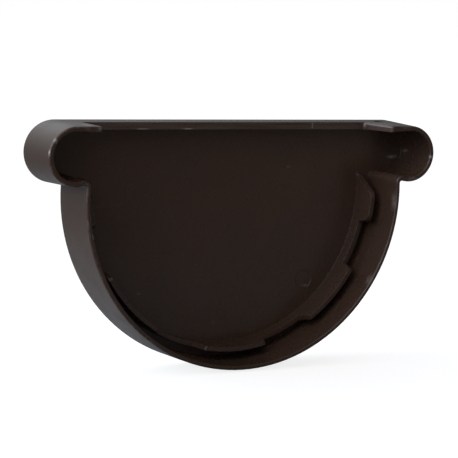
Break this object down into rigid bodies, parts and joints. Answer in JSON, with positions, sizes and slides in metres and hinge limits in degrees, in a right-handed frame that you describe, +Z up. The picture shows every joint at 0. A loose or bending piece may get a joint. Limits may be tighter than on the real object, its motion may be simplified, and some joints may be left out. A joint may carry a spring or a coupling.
{
  "type": "gutter end cap",
  "caption": "Moulded end cap for a half-round rain gutter: flat end plate, half-round skirt, a round bead socket at each top corner, a top bar and a castellated inner rib.",
  "frame": {"origin": "on the gutter's axis (centre of the half round), at the inner face of the end plate, where the gutter's end stops", "axes": "+X across the gutter, +Z up as installed, +Y outwards from the gutter's end through the plate; the open side faces -Y"},
  "size_m": [0.1606, 0.0224, 0.0916],
  "materials": {
    "brown_plastic": "satin moulded, chocolate brown"
  },
  "bodies": {
    "root": {"end_cap": "brown_plastic"}
  },
  "joints": []
}
